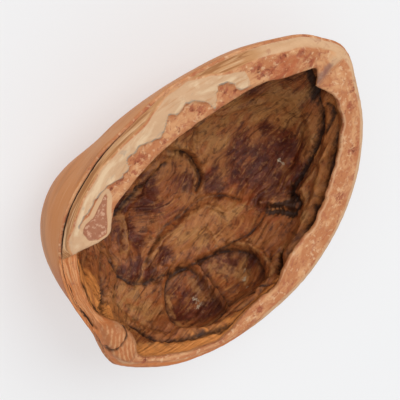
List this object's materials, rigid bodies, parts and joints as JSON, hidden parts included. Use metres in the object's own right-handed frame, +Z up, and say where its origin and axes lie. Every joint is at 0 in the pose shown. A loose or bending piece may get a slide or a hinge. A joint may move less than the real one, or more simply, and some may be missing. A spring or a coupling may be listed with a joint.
{
  "type": "empty walnut half shell",
  "caption": "Empty half of a walnut shell lying on its back, a pointed oval bowl with a thick split rim, a folded fibrous lining and bowls where the kernel's lobes sat.",
  "frame": {"origin": "on the surface that the shell rests on, under the middle of its bounding box", "axes": "+X from the stalk end to the pointed tip, +Y across the shell towards its fuller side, +Z up out of the open hollow"},
  "size_m": [0.046, 0.0324, 0.0171],
  "materials": {
    "shell": "dry split nut shell: satin orange-brown outside, rough cream and orange rim, dark brown fibrous lining"
  },
  "bodies": {
    "root": {"walnut_half_shell": "shell"}
  },
  "joints": []
}
